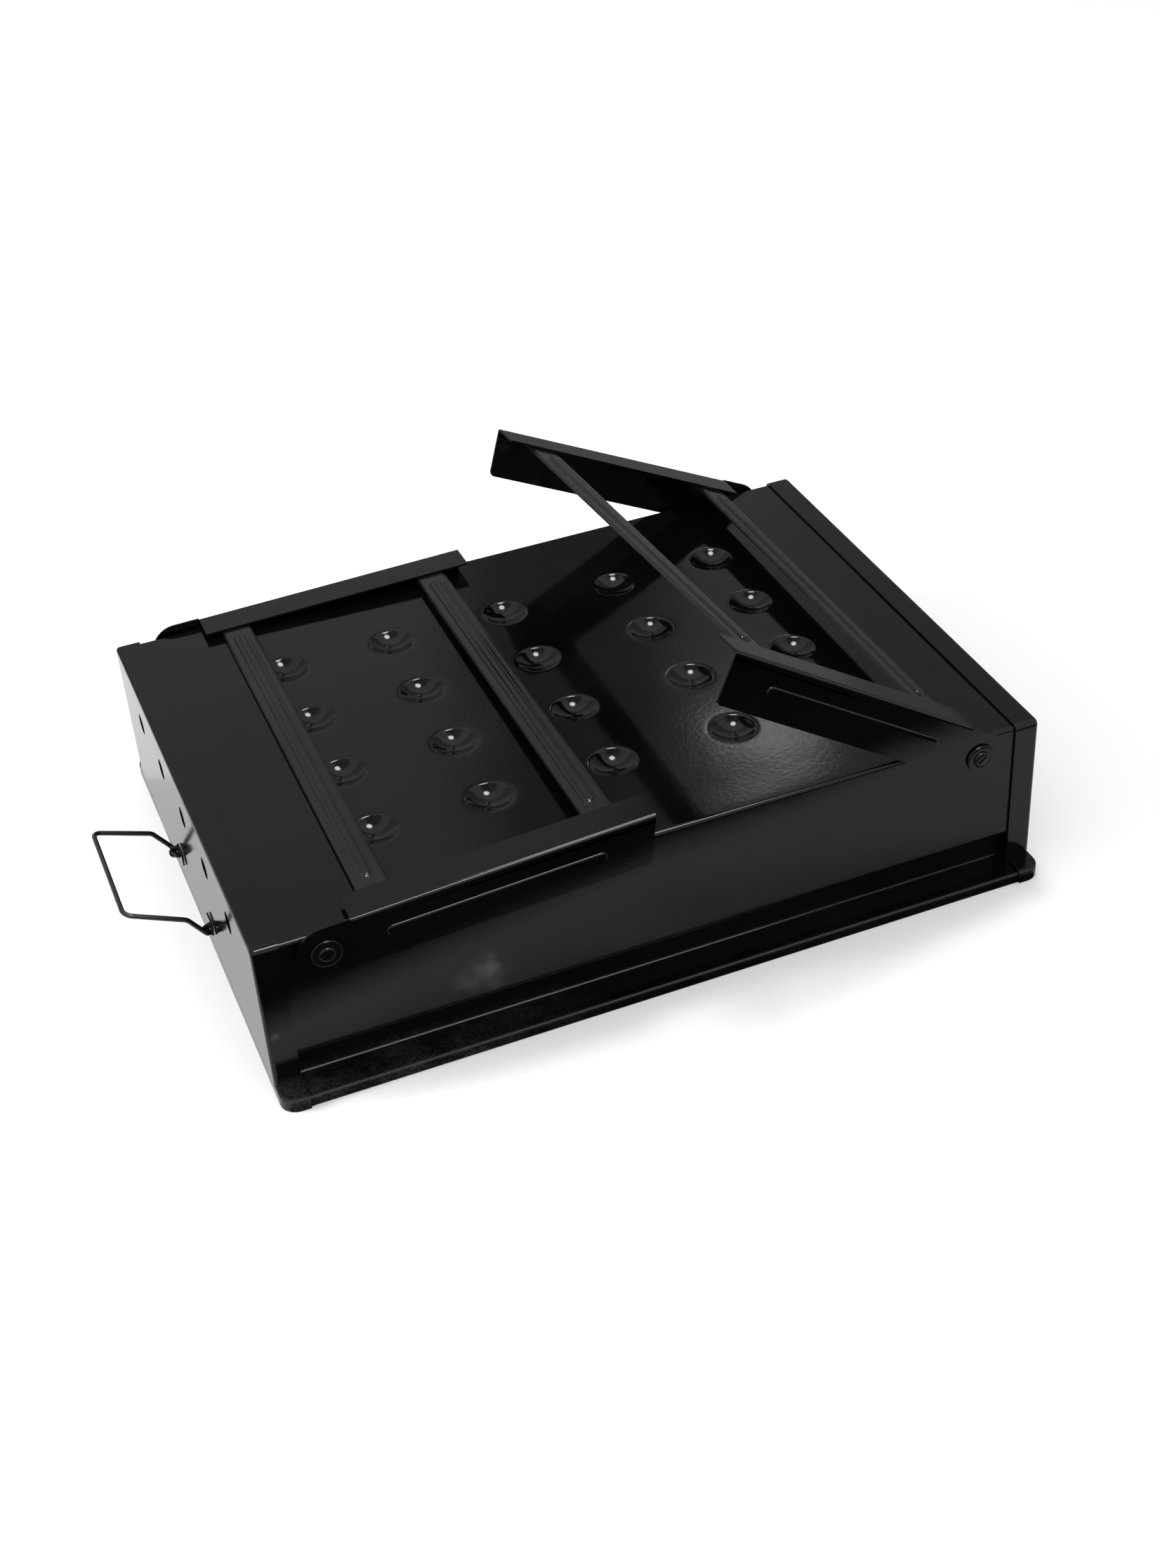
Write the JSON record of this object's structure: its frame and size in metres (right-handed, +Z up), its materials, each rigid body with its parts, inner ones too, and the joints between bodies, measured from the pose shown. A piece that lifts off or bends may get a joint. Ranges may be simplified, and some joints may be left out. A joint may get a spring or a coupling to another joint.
{
  "type": "folding-leg charcoal grill tray",
  "caption": "Rectangular sheet-steel grill tray, upside down, with folding leg frames hinged on its underside, dimpled bottom panel, vented ends and wire carrying handles.",
  "frame": {"origin": "on the ground under the middle of the tray, which is within 3 mm of the middle of the bounding box", "axes": "+X along the tray towards the end whose leg is raised, +Y across the tray, +Z up with the tray upside down on its rim"},
  "size_m": [0.5266, 0.3274, 0.1911],
  "materials": {
    "tray_shell": "gloss black baked coating",
    "end_cap_left": "gloss black baked coating",
    "end_cap_right": "gloss black baked coating",
    "handle_lug_left_front": "gloss black baked coating",
    "pivot_screw_left_front": "semi-gloss black",
    "pivot_washer_left_front": "satin zinc plate",
    "pivot_nut_left_front": "satin zinc plate",
    "handle_lug_left_back": "gloss black baked coating",
    "pivot_screw_left_back": "semi-gloss black",
    "pivot_washer_left_back": "satin zinc plate",
    "pivot_nut_left_back": "satin zinc plate",
    "handle_lug_right_front": "gloss black baked coating",
    "pivot_screw_right_front": "semi-gloss black",
    "pivot_washer_right_front": "satin zinc plate",
    "pivot_nut_right_front": "satin zinc plate",
    "handle_lug_right_back": "gloss black baked coating",
    "pivot_screw_right_back": "semi-gloss black",
    "pivot_washer_right_back": "satin zinc plate",
    "pivot_nut_right_back": "satin zinc plate",
    "left_leg_arm_front": "gloss black baked coating",
    "left_leg_arm_back": "gloss black baked coating",
    "left_leg_crossbar_inner": "gloss black baked coating",
    "left_leg_crossbar_outer": "gloss black baked coating",
    "handle_left": "semi-gloss black",
    "right_leg_arm_front": "gloss black baked coating",
    "right_leg_arm_back": "gloss black baked coating",
    "right_leg_crossbar_inner": "gloss black baked coating",
    "right_leg_crossbar_outer": "gloss black baked coating",
    "handle_right": "semi-gloss black"
  },
  "bodies": {
    "tray": {"tray_shell": "tray_shell", "end_cap_left": "end_cap_left", "end_cap_right": "end_cap_right", "handle_lug_left_front": "handle_lug_left_front", "pivot_screw_left_front": "pivot_screw_left_front", "pivot_washer_left_front": "pivot_washer_left_front", "pivot_nut_left_front": "pivot_nut_left_front", "handle_lug_left_back": "handle_lug_left_back", "pivot_screw_left_back": "pivot_screw_left_back", "pivot_washer_left_back": "pivot_washer_left_back", "pivot_nut_left_back": "pivot_nut_left_back", "handle_lug_right_front": "handle_lug_right_front", "pivot_screw_right_front": "pivot_screw_right_front", "pivot_washer_right_front": "pivot_washer_right_front", "pivot_nut_right_front": "pivot_nut_right_front", "handle_lug_right_back": "handle_lug_right_back", "pivot_screw_right_back": "pivot_screw_right_back", "pivot_washer_right_back": "pivot_washer_right_back", "pivot_nut_right_back": "pivot_nut_right_back"},
    "left_leg": {"left_leg_arm_front": "left_leg_arm_front", "left_leg_arm_back": "left_leg_arm_back", "left_leg_crossbar_inner": "left_leg_crossbar_inner", "left_leg_crossbar_outer": "left_leg_crossbar_outer"},
    "left_handle": {"handle_left": "handle_left"},
    "right_leg": {"right_leg_arm_front": "right_leg_arm_front", "right_leg_arm_back": "right_leg_arm_back", "right_leg_crossbar_inner": "right_leg_crossbar_inner", "right_leg_crossbar_outer": "right_leg_crossbar_outer"},
    "right_handle": {"handle_right": "handle_right"}
  },
  "joints": [
    {"name": "left_leg_hinge", "type": "hinge", "parent": "tray", "child": "left_leg", "pos_m": [-0.179, 0, 0.0835], "axis": [0, -1, 0], "range_deg": [-0.7, 96.5]},
    {"name": "right_leg_hinge", "type": "hinge", "parent": "tray", "child": "right_leg", "pos_m": [0.179, 0, 0.0835], "axis": [0, 1, 0], "range_deg": [-25.8, 66.8]},
    {"name": "left_handle_hinge", "type": "hinge", "parent": "tray", "child": "left_handle", "pos_m": [-0.2185, 0, 0.025], "axis": [0, 1, 0], "range_deg": [-55, 40]},
    {"name": "right_handle_hinge", "type": "hinge", "parent": "tray", "child": "right_handle", "pos_m": [0.2185, 0, 0.025], "axis": [0, -1, 0], "range_deg": [-5, 90]}
  ]
}
